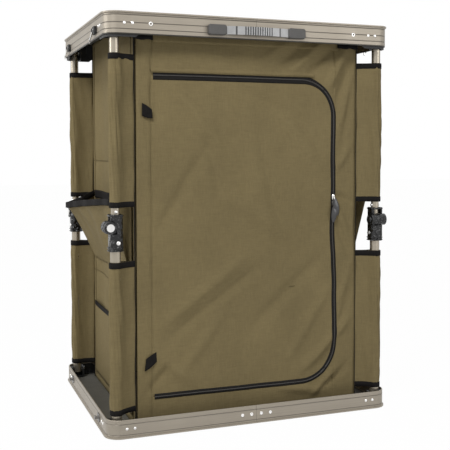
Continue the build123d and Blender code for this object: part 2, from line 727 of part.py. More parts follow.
with BuildPart() as door_zip:
    with BuildSketch(front_face.offset(GAP)):
        with BuildLine():
            add(door_outline(ZIP_WIDE / 2))
        make_face()
        with BuildLine():
            add(door_outline(-ZIP_WIDE / 2))
        make_face(mode=Mode.SUBTRACT)
        with Locations((door_left, (door_top + DOOR_BOTTOM) / 2)):
            Rectangle(2 * ZIP_START, door_top + 4 * ZIP_WIDE, mode=Mode.SUBTRACT)
    extrude(amount=ZIP_THICK)
save("door_zip", door_zip.part)


def zip_slider(z, drop, swing, proud):
    """Slider body with a leaf puller that hangs from its bail, proud of the zip."""
    face = front_face.offset(GAP + ZIP_THICK + GAP)
    with BuildPart() as slider:
        with BuildSketch(face) as body:
            with Locations((door_right, z)):
                Rectangle(SLIDER_WIDE, SLIDER_LENGTH)
            chamfer(body.vertices(), SLIDER_WIDE / 4)
        extrude(amount=SLIDER_THICK)
        with BuildSketch(face):
            with Locations((door_right, z)):
                Rectangle(BAIL_WIDE, BAIL_LENGTH)
        extrude(amount=proud + PULL_THICK)
        with BuildSketch(face.offset(proud)):
            with BuildLine():
                belly = z - drop * 0.55
                tip = (door_right + swing, z - drop)
                ThreePointArc((door_right - BAIL_WIDE / 2, z), (door_right + swing / 2 - PULL_WIDE / 2, belly), tip)
                ThreePointArc(tip, (door_right + swing / 2 + PULL_WIDE / 2, belly), (door_right + BAIL_WIDE / 2, z))
                Line((door_right + BAIL_WIDE / 2, z), (door_right - BAIL_WIDE / 2, z))
            make_face()
        extrude(amount=PULL_THICK)
    return slider.part


slider_gap = SLIDER_LENGTH / 2 + GAP
save("zip_slider_upper", zip_slider(slider_z + slider_gap, PULL_LENGTH, 9.0, SLIDER_THICK + GAP))
save("zip_slider_lower", zip_slider(slider_z - slider_gap, PULL_LENGTH, -3.0, SLIDER_THICK - PULL_THICK))

with BuildPart() as door_ties:
    for z in tie_heights:
        with BuildSketch(front_face.offset(GAP)) as outline:
            with Locations(Location((door_left - TIE_FROM_SEAM, z), TIE_SLANT)):
                Rectangle(TIE_SIZE[0], TIE_SIZE[1])
            chamfer(outline.vertices(), TIE_SIZE[0] * 0.35)
        extrude(amount=TIE_SIZE[2])
save("door_ties", door_ties.part)

# Two shelves hang between the walls and sag a little
shelf_x = cabinet_x - CLOTH - WALL_WAVE - GAP
shelf_y = cabinet_y - CLOTH - WALL_WAVE - GAP
with BuildPart() as shelves:
    for z in shelf_heights:
        with BuildSketch(Plane.XZ.offset(-shelf_y)):
            with BuildLine():
                ThreePointArc((-shelf_x, z), (0, z - SHELF_SAG), (shelf_x, z))
                Line((shelf_x, z), (shelf_x, z + SHELF_THICK))
                ThreePointArc((shelf_x, z + SHELF_THICK), (0, z + SHELF_THICK - SHELF_SAG),
                              (-shelf_x, z + SHELF_THICK))
                Line((-shelf_x, z + SHELF_THICK), (-shelf_x, z))
            make_face()
        extrude(amount=2 * shelf_y)
save("shelves", shelves.part)


def pocket_wedge(side, low, high, foot, mouth, half, corner):
    """Wedge against a side wall, wider at its mouth, its front corners cut off."""
    wall_x = side * (cabinet_x + GAP)
    front, near = wall_x + side * mouth, wall_x + side * (mouth - corner)
    with BuildPart() as wedge:
        with BuildSketch(Plane.XZ.offset(-half)):
            with BuildLine():
                Polyline((wall_x, low), (wall_x + side * foot, low), (front, high), (wall_x, high), close=True)
            make_face()
        extrude(amount=2 * half)
        with BuildSketch(Plane.XY.offset(low)):
            with BuildLine():
                Polyline((wall_x, -half), (wall_x, half), (near, half), (front, half - corner),
                         (front, corner - half), (near, -half), close=True)
            make_face()
        extrude(amount=high - low, mode=Mode.INTERSECT)
    return wedge.part


with BuildPart() as bellows_pockets:
    for side in (-1, 1):
        add(pocket_wedge(side, bellows_bottom, bellows_top, POCKET_FOOT, BELLOWS_OUT, bellows_half, BELLOWS_CORNER))
    for side in (-1, 1):
        hollow = pocket_wedge(side, bellows_bottom + CLOTH, bellows_top + 1, POCKET_FOOT - 2 * CLOTH,
                              BELLOWS_OUT - 2 * CLOTH, bellows_half - CLOTH, BELLOWS_CORNER)
        add(hollow.moved(Location((side * CLOTH, 0, 0))), mode=Mode.SUBTRACT)
save("bellows_pockets", bellows_pockets.part)

# The flat pockets lie closed against the walls
with BuildPart() as flat_pockets:
    for side in (-1, 1):
        add(pocket_wedge(side, FLAT_POCKET_BOTTOM, flat_pocket_top, CLOTH, FLAT_POCKET_OUT, flat_pocket_half, CLOTH))
save("flat_pockets", flat_pockets.part)


def sleeves(name, span, tube_r):
    """Cloth loops round the four tubes, each sewn to the edge of a side wall."""
    with BuildPart() as group:
        for sx in (-1, 1):
            for sy in (-1, 1):
                middle = Vector(sx * leg_x, sy * leg_y)
                seam = Vector(sx * (cabinet_x + 2 * SLEEVE_CLOTH), sy * (cabinet_y - SLEEVE_CLOTH))
                reach = seam - middle
                turn = Location((middle.X, middle.Y), reach.get_signed_angle(Vector(1, 0, 0), Vector(0, 0, -1)))
                with BuildSketch(Plane.XY.offset(span[0])):
                    with Locations(turn):
                        RegularPolygon(tube_r + SLEEVE_EASE + SLEEVE_CLOTH, SLEEVE_SIDES, major_radius=False)
                        with Locations((reach.length / 2, 0)):
                            Rectangle(reach.length, 2 * SLEEVE_CLOTH)
                        RegularPolygon(tube_r + SLEEVE_EASE, SLEEVE_SIDES, major_radius=False, mode=Mode.SUBTRACT)
                extrude(amount=span[1] - span[0])
    save(name, group.part)


sleeves("lower_sleeves", lower_sleeve, LOWER_TUBE_R)
sleeves("upper_sleeves", upper_sleeve, UPPER_TUBE_R)
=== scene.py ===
import bpy, json, math
from mathutils import Matrix, Vector, noise


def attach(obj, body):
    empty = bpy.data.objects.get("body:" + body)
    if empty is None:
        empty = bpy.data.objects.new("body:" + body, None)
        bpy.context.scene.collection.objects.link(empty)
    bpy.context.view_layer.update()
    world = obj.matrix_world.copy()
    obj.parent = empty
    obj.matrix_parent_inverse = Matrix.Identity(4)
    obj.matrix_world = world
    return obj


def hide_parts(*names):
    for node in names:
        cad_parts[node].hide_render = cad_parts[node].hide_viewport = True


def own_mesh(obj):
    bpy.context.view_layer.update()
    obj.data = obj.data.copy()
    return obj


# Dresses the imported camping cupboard: a material on every CAD node, and modelled cloth, zip, pockets,
# bindings and small fasteners that ride the CAD bodies. All lengths are in metres.
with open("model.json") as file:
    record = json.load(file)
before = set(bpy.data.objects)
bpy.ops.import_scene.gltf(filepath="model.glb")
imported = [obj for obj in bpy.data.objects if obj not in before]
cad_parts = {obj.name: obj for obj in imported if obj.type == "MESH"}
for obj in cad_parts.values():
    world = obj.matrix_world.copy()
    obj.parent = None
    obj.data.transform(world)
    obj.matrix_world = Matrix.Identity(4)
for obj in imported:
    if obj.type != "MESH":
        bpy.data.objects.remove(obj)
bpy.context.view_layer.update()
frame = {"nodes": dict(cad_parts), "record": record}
nodes = frame["nodes"]
scene = bpy.context.scene

# Sizes of the CAD
SHIFT = 0.00535                                  # the cupboard's middle lies this far behind the origin
HALF_W, HALF_D, HIGH = 0.300, 0.232, 0.8015      # outside of the trays, and the height
CAB_X, CAB_Y = 0.240, 0.200                      # half the width and half the depth of the cabinet
LOW, TOP = 0.0073, 0.7942                        # lower and upper edge of its cloth
LEG_X, LEG_Y = 0.279, 0.211                      # axes of the legs
LOWER_TUBE_R, UPPER_TUBE_R = 0.010, 0.009
LOWER_SLEEVE, UPPER_SLEEVE = (0.041, 0.333), (0.436, 0.726)
FRONT = -CAB_Y + SHIFT
DOOR_L, DOOR_R, DOOR_B, DOOR_T, DOOR_ROUND = -0.2055, 0.1855, 0.065, 0.688, 0.074
KNUCKLE_Z, OFFSET = 0.399, 0.012                 # height of the knuckle pins, and their distance from the leg's axis
SLIDER_Z = 0.440
SHELVES = (0.264, 0.520)

# Sizes of the cloth
CLOTH_THICK, THIN_CLOTH, SHELF_THICK = 0.0009, 0.0008, 0.0024
SHELF_SEAMS = (0.2655, 0.5215)
SIDE = CAB_X - 0.0045                            # half the width of the front cloth
POCKET_HALF, POCKET_OUT = 0.172, 0.0655          # bellows pockets: half the length, and reach from the wall
POCKET_FOOT, POCKET_RISE, POCKET_FRONT = 0.2985, 0.1530, 0.60
FLAT_HALF, FLAT_FOOT, FLAT_RISE = 0.177, 0.026, 0.168

# Each corner's side in x and y, and the turn of its knuckle in degrees
corners = {"front_left": (-1, -1, 0), "front_right": (1, -1, 90), "back_right": (1, 1, 180), "back_left": (-1, 1, 270)}


# ---------------------------------------------------------------- materials
def new_material(name, colour, rough=0.5, metal=0.0, specular=0.5, coat=0.0):
    """A material with its nodes, its links and its shader."""
    m = bpy.data.materials.new(name)
    m.use_nodes = True
    b = m.node_tree.nodes["Principled BSDF"]
    b.inputs["Base Color"].default_value = (*colour, 1)
    b.inputs["Roughness"].default_value = rough
    b.inputs["Metallic"].default_value = metal
    b.inputs["Specular IOR Level"].default_value = specular
    b.inputs["Coat Weight"].default_value = coat
    return m, m.node_tree.nodes, m.node_tree.links, b


def add_node(ns, kind, **values):
    """A node with some of its inputs or settings set."""
    n = ns.new(kind)
    for key, value in values.items():
        if key in n.inputs:
            n.inputs[key].default_value = value
        else:
            setattr(n, key, value)
    return n


def calc(ns, links, op, *terms):
    """One Math node. Terms are numbers or sockets."""
    n = ns.new("ShaderNodeMath")
    n.operation = op
    for i, v in enumerate(terms):
        if isinstance(v, (int, float)):
            n.inputs[i].default_value = v
        else:
            links.new(v, n.inputs[i])
    return n.outputs[0]


def noise_at(ns, links, coords, scale, detail=4.0, stretch=(1, 1, 1)):
    """Noise from 0 to 1, stretched along the axes whose share is small."""
    mapping = ns.new("ShaderNodeMapping")
    mapping.inputs["Scale"].default_value = [scale * k for k in stretch]
    links.new(coords, mapping.inputs["Vector"])
    n = add_node(ns, "ShaderNodeTexNoise", Scale=1.0, Detail=detail)
    links.new(mapping.outputs[0], n.inputs["Vector"])
    return n.outputs["Fac"]


def shade(ns, links, b, colour, factor):
    """Base colour times a factor socket."""
    n = ns.new("ShaderNodeVectorMath")
    n.operation = "SCALE"
    n.inputs[0].default_value = colour
    links.new(factor, n.inputs["Scale"])
    links.new(n.outputs[0], b.inputs["Base Color"])


def bumped(ns, links, b, height, distance, strength=1.0):
    """Fine relief from a height socket."""
    n = add_node(ns, "ShaderNodeBump", Strength=strength, Distance=distance)
    links.new(height, n.inputs["Height"])
    links.new(n.outputs["Normal"], b.inputs["Normal"])


def worn(ns, links, b, coords, rough, swing, scale):
    """Roughness that changes a little from place to place."""
    links.new(calc(ns, links, "MULTIPLY_ADD", noise_at(ns, links, coords, scale, 6.0), swing, rough - swing / 2),
              b.inputs["Roughness"])


def woven(name, colour, thread=640.0, depth=0.0005, rough=0.85, contrast=0.34, slow=0.34, specular=0.2):
    """Canvas: upright and level threads of uneven thickness, and slow changes of tone."""
    m, ns, links, b = new_material(name, colour, rough, specular=specular)
    co = ns.new("ShaderNodeTexCoord").outputs["Object"]
    upright = noise_at(ns, links, co, thread, 3.0, (1, 1, 0.09))
    level = noise_at(ns, links, co, thread, 3.0, (0.09, 0.09, 1))
    threads = calc(ns, links, "ADD", upright, level)
    broad = noise_at(ns, links, co, 9.0, 8.0)
    tone = calc(ns, links, "MULTIPLY_ADD", threads, contrast, 1.0 - contrast - slow / 2)
    tone = calc(ns, links, "MULTIPLY_ADD", broad, slow, tone)
    shade(ns, links, b, colour, tone)
    bumped(ns, links, b, threads, depth, 0.7)
    worn(ns, links, b, co, rough, 0.12, 60.0)
    return m


def metal(name, colour, rough, metallic, stretch=(0.006, 0.006, 1), scale=1200.0, shaded_grooves=(), depth=0.0001):
    """Drawn and anodised metal: fine lines along the bar, and painted shade in its grooves."""
    m, ns, links, b = new_material(name, colour, rough, metallic)
    co = ns.new("ShaderNodeTexCoord").outputs["Object"]
    lines = noise_at(ns, links, co, scale, 4.0, stretch)
    cloudy = noise_at(ns, links, co, 14.0, 6.0)
    tone = calc(ns, links, "MULTIPLY_ADD", lines, 0.34, 0.83)
    tone = calc(ns, links, "MULTIPLY", tone, calc(ns, links, "MULTIPLY_ADD", cloudy, 0.16, 0.92))
    # Painted shade: the band of height of each groove is darkened
    if shaded_grooves:
        z = ns.new("ShaderNodeSeparateXYZ")
        links.new(co, z.inputs[0])
        for level, half, shaded in shaded_grooves:
            inside = calc(ns, links, "COMPARE", z.outputs[2], level, half)
            tone = calc(ns, links, "MULTIPLY", tone, calc(ns, links, "MULTIPLY_ADD", inside, -shaded, 1.0))
    shade(ns, links, b, colour, tone)
    bumped(ns, links, b, lines, depth, 0.5)
    worn(ns, links, b, co, rough, 0.16, 24.0)
    return m


def plastic(name, colour, rough, grain=1400.0, depth=0.0002, swell=0.0, coat=0.0, specular=0.4, rib_shade=None):
    """Moulded plastic: spark-eroded grain, soft swells of the moulding, and a worn gloss.

    The last argument gives the pitch and reach of lines of painted shade in the rib grooves across x, and where one
    more line of painted shade, at the join with the caps, starts and ends."""
    m, ns, links, b = new_material(name, colour, rough, coat=coat, specular=specular)
    co = ns.new("ShaderNodeTexCoord").outputs["Object"]
    n = add_node(ns, "ShaderNodeTexVoronoi", Scale=grain)
    links.new(co, n.inputs["Vector"])
    height = calc(ns, links, "MULTIPLY", n.outputs["Distance"], depth)
    if swell:
        height = calc(ns, links, "MULTIPLY_ADD", noise_at(ns, links, co, 100.0, 1.0), swell, height)
    bumped(ns, links, b, height, 1.0)
    tone = calc(ns, links, "MULTIPLY_ADD", noise_at(ns, links, co, 60.0, 6.0), 0.5, 0.75)
    # Painted shade in the rib grooves, and in the line where the grip meets the caps
    if rib_shade:
        x = ns.new("ShaderNodeSeparateXYZ")
        links.new(co, x.inputs[0])
        pitch, reach, gap_from, gap_to = rib_shade
        wave = calc(ns, links, "COSINE", calc(ns, links, "MULTIPLY", x.outputs[0], 2 * math.pi / pitch))
        away = calc(ns, links, "ABSOLUTE", x.outputs[0])
        shaded = calc(ns, links, "MULTIPLY", calc(ns, links, "LESS_THAN", wave, -0.1),
                    calc(ns, links, "LESS_THAN", away, reach))
        line = calc(ns, links, "COMPARE", away, (gap_from + gap_to) / 2, (gap_to - gap_from) / 2)
        shade_tone = calc(ns, links, "MULTIPLY_ADD", calc(ns, links, "MAXIMUM", shaded, line), -0.88, 1.0)
        tone = calc(ns, links, "MULTIPLY", tone, shade_tone)
    shade(ns, links, b, colour, tone)
    worn(ns, links, b, co, rough, 0.18, 120.0)
    return m


CLOTH = woven("olive_cloth", (0.184, 0.144, 0.069))
CLOTH_DARK = woven("olive_cloth_inside", (0.130, 0.102, 0.048))
TAPE = woven("black_tape", (0.011, 0.010, 0.0095), thread=700.0, depth=0.0008, rough=0.75, specular=0.08)
ZIP = woven("zip_tape", (0.013, 0.012, 0.011), thread=900.0, depth=0.0008, rough=0.6, specular=0.1)
COIL = metal("zip_coil", (0.036, 0.033, 0.030), 0.4, 0.2, stretch=(1, 1, 1), scale=420.0, depth=0.0008)
# Height, half width and darkness of painted shade round the trays: lines in the grooves, and a band under the top
# tray's flange
top_groove_shade = [(HIGH - 0.0065, 0.0010, 0.45), (HIGH - 0.0205, 0.0010, 0.45), (HIGH - 0.0325, 0.0010, 0.45)]
low_groove_shade = [(0.0065, 0.0010, 0.40), (0.0270, 0.0010, 0.40), (0.7602, 0.0016, 0.85)]
RAIL = metal("rail_anodised", (0.325, 0.288, 0.234), 0.46, 0.50, shaded_grooves=top_groove_shade + low_groove_shade)
TUBE = metal("tube_anodised", (0.37, 0.33, 0.265), 0.30, 0.80, stretch=(1, 1, 0.006))
STEEL = metal("bright_steel", (0.80, 0.79, 0.77), 0.26, 1.0, stretch=(1, 1, 0.05), scale=500.0)
ZINC = metal("catch_zinc", (0.22, 0.21, 0.20), 0.42, 0.9, stretch=(1, 1, 0.05), scale=500.0)
BOARD = plastic("laminated_board", (0.098, 0.094, 0.080), 0.6, grain=500.0, depth=0.0004)
BLACK = plastic("bracket_plastic", (0.010, 0.010, 0.010), 0.5)
KNUCKLE = plastic("knuckle_plastic", (0.007, 0.007, 0.007), 0.24, grain=700.0, depth=0.00008, swell=0.0075,
                  specular=0.42)
GREY = plastic("handle_grip_plastic", (0.38, 0.38, 0.38), 0.30, grain=1800.0, coat=0.5,
               rib_shade=(0.005, 0.030, 0.0440, 0.0475))
CAP = plastic("handle_cap_plastic", (0.085, 0.082, 0.078), 0.45)
LACQUER = plastic("slider_lacquer", (0.028, 0.027, 0.028), 0.34, grain=300.0, depth=0.0001, coat=0.4)

by_slot = {"rail": RAIL, "tube": TUBE, "board": BOARD, "bracket": BLACK, "knuckle": KNUCKLE, "fastener": STEEL,
           "latch": STEEL, "handle": CAP, "cloth": CLOTH, "zip": ZIP, "slider": LACQUER}
for part in frame["record"]["subparts"]:
    node = nodes[part["node"]]
    node.data.materials.clear()
    node.data.materials.append(by_slot[part["material_slot"]])
nodes["handle_grip"].data.materials[0] = GREY
nodes["base_catches"].data.materials[0] = ZINC
nodes["base_splices"].data.materials[0] = BLACK
nodes["top_splices"].data.materials[0] = BLACK


# ---------------------------------------------------------------- mesh helpers
def finish_piece(name, verts, faces, material, body, slot, replaced=(), thick=0.0):
    """Makes a piece: its mesh, its thickness if it is cloth, the CAD nodes it replaces and its body. The slot is not
    used.
    """
    mesh = bpy.data.meshes.new(name)
    mesh.from_pydata([tuple(v) for v in verts], [], faces)
    mesh.validate()
    obj = bpy.data.objects.new(name, mesh)
    scene.collection.objects.link(obj)
    mesh.materials.append(material)
    for p in mesh.polygons:
        p.use_smooth = True
    if thick:
        solidify = obj.modifiers.new("thickness", "SOLIDIFY")
        solidify.thickness, solidify.offset = thick, 0.0
        bake(obj)
    if replaced:
        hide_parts(*replaced)
    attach(obj, body)
    return obj


def bake(obj):
    """Applies the modifiers, so that later calls see the final mesh."""
    bpy.context.view_layer.update()
    deps = bpy.context.evaluated_depsgraph_get()
    mesh = bpy.data.meshes.new_from_object(obj.evaluated_get(deps))
    obj.modifiers.clear()
    obj.data = mesh


def grid_faces(rows, cols, closed=False):
    """Faces of a grid whose points run row by row. A closed grid joins its last column to its first."""
    faces = []
    for r in range(rows - 1):
        for c in range(cols if closed else cols - 1):
            a, b = r * cols + c, r * cols + (c + 1) % cols
            faces.append((a, b, b + cols, a + cols))
    return faces


def surface(point, us, vs):
    """Grid of point(u, v) for every v in vs and u in us."""
    return [point(u, v) for v in vs for u in us], grid_faces(len(vs), len(us))


def span(a, b, n):
    """n equal steps from a to b, with both ends."""
    return [a + (b - a) * i / n for i in range(n + 1)]


def join(*pieces):
    """Several (points, faces) as one."""
    verts, faces = [], []
    for v, f in pieces:
        start = len(verts)
        verts += v
        faces += [tuple(i + start for i in face) for face in f]
    return verts, faces


def crumple(x, z, seed, size):
    """Slack of cloth: noise that is longer upwards than sideways."""
    return noise.noise(Vector((x * size, seed * 3.7, z * size * 0.45)))


def tube_path(points, radius, sides=10):
    """A round cord along points."""
    verts = []
    for i, p in enumerate(points):
        t = (points[min(i + 1, len(points) - 1)] - points[max(i - 1, 0)]).normalized()
        a = t.orthogonal().normalized()
        b = t.cross(a)
        verts += [p + (a * math.cos(q) + b * math.sin(q)) * radius
                  for q in (2 * math.pi * k / sides for k in range(sides))]
    return verts, grid_faces(len(points), sides, closed=True)


def smoothstep(a, b, x):
    """0 before a, 1 after b and a smooth rise between them."""
    t = max(0.0, min(1.0, (x - a) / (b - a)))
    return t * t * (3 - 2 * t)


def fold_line(x, z, x0, z0, x1, z1, width, depth):
    """A soft crease along a line, fading out at both ends."""
    dx, dz = x1 - x0, z1 - z0
    length = math.hypot(dx, dz)
    t = ((x - x0) * dx + (z - z0) * dz) / length ** 2
    d = ((x - x0) * -dz + (z - z0) * dx) / length
    fade = smoothstep(-0.15, 0.3, t) * smoothstep(1.15, 0.7, t)
    return depth * fade * math.exp(-(d / width) ** 2)


def squashed(obj):
    """The real cloth crumples flat when the cupboard folds; here the piece only gets a mesh of its own."""
    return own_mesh(obj)


# ---------------------------------------------------------------- front cloth and door
def zip_distance(x, z):
    """Distance from the line of the zip."""
    x1, z0, z1 = DOOR_R - DOOR_ROUND, DOOR_B + DOOR_ROUND, DOOR_T - DOOR_ROUND
    if x > x1 and z > z1:
        return abs(math.hypot(x - x1, z - z1) - DOOR_ROUND)
    if x > x1 and z < z0:
        return abs(math.hypot(x - x1, z - z0) - DOOR_ROUND)
    return min(abs(z - DOOR_B), abs(z - DOOR_T), abs(x - DOOR_R) if z0 <= z <= z1 else 1.0)


def front_bulge(x, z):
    """How far the front cloth stands out from its plane: slack, creases and drawn corners."""
    edge = max(0.0, min(1.0, (CAB_X - abs(x)) / 0.05) * min(1.0, (z - LOW) / 0.05, (TOP - z) / 0.05))
    slack = 0.0032 * crumple(x, z, 1, 6.0) + 0.0022 * crumple(x, z, 2, 15.0) + 0.0009 * crumple(x, z, 3, 38.0)
    slack += 0.0004 * crumple(x, z, 4, 80.0)
    folds = sum(fold_line(x, z, *line) for line in front_folds)
    return (slack + 1.7 * folds * (1 - 0.9 * math.exp(-(zip_distance(x, z) / 0.010) ** 2))) * edge


# x0, z0, x1, z1, width, depth of each crease in the front cloth
front_folds = [
    (0.234, 0.792, 0.168, 0.668, 0.0085, 0.0065), (0.226, 0.795, 0.120, 0.694, 0.0075, -0.0050),
    (0.237, 0.765, 0.188, 0.630, 0.0070, -0.0050), (0.185, 0.795, 0.090, 0.704, 0.0075, 0.0045),
    (0.237, 0.735, 0.196, 0.585, 0.0070, 0.0045), (0.150, 0.795, 0.060, 0.712, 0.0065, -0.0035),
    (0.232, 0.700, 0.205, 0.540, 0.0060, -0.0030), (0.120, 0.792, 0.020, 0.720, 0.0080, 0.0026),
    (-0.232, 0.792, -0.208, 0.650, 0.0075, 0.0050), (-0.226, 0.740, -0.190, 0.600, 0.0070, -0.0040),
    (-0.234, 0.640, -0.212, 0.480, 0.0060, 0.0035), (-0.232, 0.420, -0.212, 0.300, 0.0065, 0.0035),
    (0.190, 0.500, 0.237, 0.570, 0.0070, 0.0045), (0.190, 0.430, 0.237, 0.340, 0.0080, 0.0055),
    (0.190, 0.455, 0.237, 0.430, 0.0060, -0.0045), (0.192, 0.405, 0.234, 0.300, 0.0060, -0.0040),
    (0.194, 0.220, 0.237, 0.330, 0.0070, 0.0040), (0.194, 0.170, 0.237, 0.270, 0.0060, -0.0032),
    (0.110, 0.085, 0.232, 0.200, 0.0085, 0.0050), (0.150, 0.045, 0.237, 0.100, 0.0070, -0.0040),
    (0.060, 0.060, 0.160, 0.040, 0.0090, 0.0035), (0.130, 0.030, 0.200, 0.090, 0.0060, 0.0040),
    (-0.200, 0.150, -0.120, 0.080, 0.0100, 0.0026), (-0.234, 0.050, -0.170, 0.125, 0.0070, -0.0035),
    (-0.160, 0.670, -0.040, 0.520, 0.0150, 0.0030), (0.060, 0.640, 0.175, 0.470, 0.0160, 0.0030),
    (-0.195, 0.380, -0.090, 0.560, 0.0110, -0.0030), (-0.190, 0.200, -0.010, 0.330, 0.0110, 0.0032),
    (-0.180, 0.170, 0.020, 0.310, 0.0090, -0.0026), (0.000, 0.180, 0.165, 0.330, 0.0140, -0.0028),
    (-0.060, 0.460, 0.100, 0.360, 0.0150, 0.0028), (-0.120, 0.620, -0.080, 0.440, 0.0090, 0.0024),
    (0.020, 0.560, 0.060, 0.400, 0.0110, -0.0022), (-0.150, 0.100, -0.060, 0.220, 0.0100, 0.0022),
    (0.080, 0.110, 0.175, 0.260, 0.0100, 0.0026), (-0.030, 0.670, 0.120, 0.600, 0.0120, -0.0022),
]


def drift(x, z):
    """Sideways pull of the cloth next to the zip, which makes the zip wander."""
    near = math.exp(-((x - DOOR_R) / 0.05) ** 2)
    return near * (0.0035 * math.exp(-((z - 0.185) / 0.06) ** 2) - 0.0030 * math.exp(-((z - 0.375) / 0.035) ** 2)
                   + 0.0018 * math.exp(-((z - 0.270) / 0.03) ** 2) - 0.0018 * math.exp(-((z - 0.545) / 0.05) ** 2))


def front_point(x, z):
    """The point of the front cloth that lies at (x, z) when the cloth is flat."""
    return Vector((x + drift(x, z), FRONT - 0.0006 - front_bulge(x, z), z))


def door_limits(x):
    """Lower and upper edge of the door at x."""
    over = x - (DOOR_R - DOOR_ROUND)
    if over <= 0:
        return DOOR_B, DOOR_T
    drop = DOOR_ROUND - math.sqrt(max(0.0, DOOR_ROUND ** 2 - over ** 2))
    return DOOR_B + drop, DOOR_T - drop


def between(x, v, low, high):
    """The front point at share v of the way from height low to height high."""
    return front_point(x, low + v * (high - low))


# The door and the cloth round it share their edge points. The columns close up where the zip bends.
straight = span(DOOR_L, DOOR_R - DOOR_ROUND, 56)
bend = [DOOR_R - DOOR_ROUND + DOOR_ROUND * math.sin(math.pi / 2 * i / 20) for i in range(1, 21)]
columns = straight + bend
middle_rows, edge_rows = 110, 16
bend_low, bend_high = DOOR_B + DOOR_ROUND, DOOR_T - DOOR_ROUND
door = finish_piece("door_cloth", *surface(lambda x, v: between(x, v, *door_limits(x)), columns,
                                           span(0, 1, middle_rows)),
                    CLOTH, "door", "cloth", ["door_panel"], thick=CLOTH_THICK)
surround = join(
    surface(lambda x, v: between(x, v, LOW, door_limits(x)[0]), columns, span(0, 1, edge_rows)),
    surface(lambda x, v: between(x, v, door_limits(x)[1], TOP), columns, span(0, 1, edge_rows)),
    surface(front_point, span(-SIDE, DOOR_L, 6), span(LOW, TOP, 150)),
    surface(front_point, span(DOOR_R, SIDE, 10),
            span(LOW, bend_low, edge_rows)[:-1] + span(bend_low, bend_high, middle_rows)
            + span(bend_high, TOP, edge_rows)[1:]))
front = finish_piece("front_cloth", *surround, CLOTH, "base", "cloth", ["front_surround"], thick=CLOTH_THICK)


def ribbon(path, profile, widen=lambda x, z: 1.0):
    """Strip along a path of (x, z) on the front. The profile gives (sideways, outwards) offsets from the cloth."""
    last = len(path) - 1
    verts = []
    for i, (x, z) in enumerate(path):
        (x0, z0), (x1, z1) = path[max(0, i - 1)], path[min(last, i + 1)]
        n = math.hypot(x1 - x0, z1 - z0)
        sx, sz = (z1 - z0) / n * widen(x, z), (x0 - x1) / n * widen(x, z)
        verts += [front_point(x + sx * a, z + sz * a) + Vector((0, -o, 0)) for a, o in profile]
    return verts, grid_faces(len(path), len(profile))


def zip_bend(z, start, end):
    """Points of one round corner of the zip, whose middle is at height z, between two angles in degrees."""
    return [(DOOR_R - DOOR_ROUND + DOOR_ROUND * math.cos(a), z + DOOR_ROUND * math.sin(a))
            for a in span(math.radians(start), math.radians(end), 24)]


level_run = span(DOOR_L + 0.004, DOOR_R - DOOR_ROUND, 60)
outline = ([(x, DOOR_T) for x in level_run] + zip_bend(bend_high, 90, 0)[1:]
           + [(DOOR_R, z) for z in span(bend_high, bend_low, 90)][1:]
           + zip_bend(bend_low, 0, -90)[1:] + [(x, DOOR_B) for x in reversed(level_run[:-1])])
zip_profile = [(-0.0055, 0.0002), (-0.0053, 0.0010), (-0.0024, 0.0013), (-0.0012, 0.0010), (0.0012, 0.0010),
               (0.0024, 0.0013), (0.0053, 0.0010), (0.0055, 0.0002)]


def zip_width(x, z):
    """The upper run of the zip shows a wider band than the rest: the extra black width is painted shadow under the zip
    flap.
    """
    return 1.0 + 0.60 * smoothstep(DOOR_R - 0.02, DOOR_R - 0.08, x) * (z > 0.4)


zip_band = finish_piece("door_zip_band", *ribbon(outline, zip_profile, zip_width), ZIP, "door", "zip", ["door_zip"])
proud = Vector((0, -0.0016, 0))
teeth = [front_point(x, z) + proud for x, z in outline]
zip_coil = finish_piece("door_zip_coil", *tube_path(teeth, 0.0013, 8), COIL, "door", "zip")


def hinge_seam(name, x):
    """A raised sewn line up the front: a thin ridge that follows the cloth."""
    ridge = [(-0.0011, 0.0), (-0.00066, 0.00064), (0, 0.0008), (0.00066, 0.00064), (0.0011, 0.0)]
    return finish_piece(name, *ribbon([(x, z) for z in span(LOW, TOP, 150)], ridge), CLOTH, "base", "cloth")


seams = [hinge_seam("door_hinge_seam", DOOR_L), hinge_seam("door_hinge_seam_2", DOOR_L - 0.0065)]

# Flap over the upper run of the zip, and the hem below the top tray with its dark ends
flap_run = [(x, DOOR_T) for x in span(DOOR_L, DOOR_R - 0.045, 60)]
flap_profile = [(-0.0052, 0.0012), (-0.0048, 0.0028), (-0.0115, 0.0026), (-0.0140, 0.0003)]
zip_flap = finish_piece("zip_flap", *ribbon(flap_run, flap_profile,
                                            lambda x, z: 1.0 + 0.1 * smoothstep(0.05, 0.14, x)),
                        CLOTH, "base", "cloth")
front_hem = finish_piece("front_hem", *surface(lambda x, z: front_point(x, z) + proud, span(-0.2026, 0.1954, 90),
                                               span(0.7505, 0.792, 8)), CLOTH, "base", "cloth", thick=0.0010)


def hem_end(x, v):
    """A wavy strip of binding, a little in front of the hem."""
    return front_point(x, 0.7545 + 0.0010 * math.sin(x * 260) + v * 0.038) + Vector((0, -0.0026, 0))


hem_ends = [surface(hem_end, span(x0, x1, 16), span(0, 1, 8)) for x0, x1 in ((-0.2395, -0.2020), (0.1950, 0.2395))]
front_hem_ends = finish_piece("front_hem_ends", *join(*hem_ends), TAPE, "base", "zip", thick=0.0014)


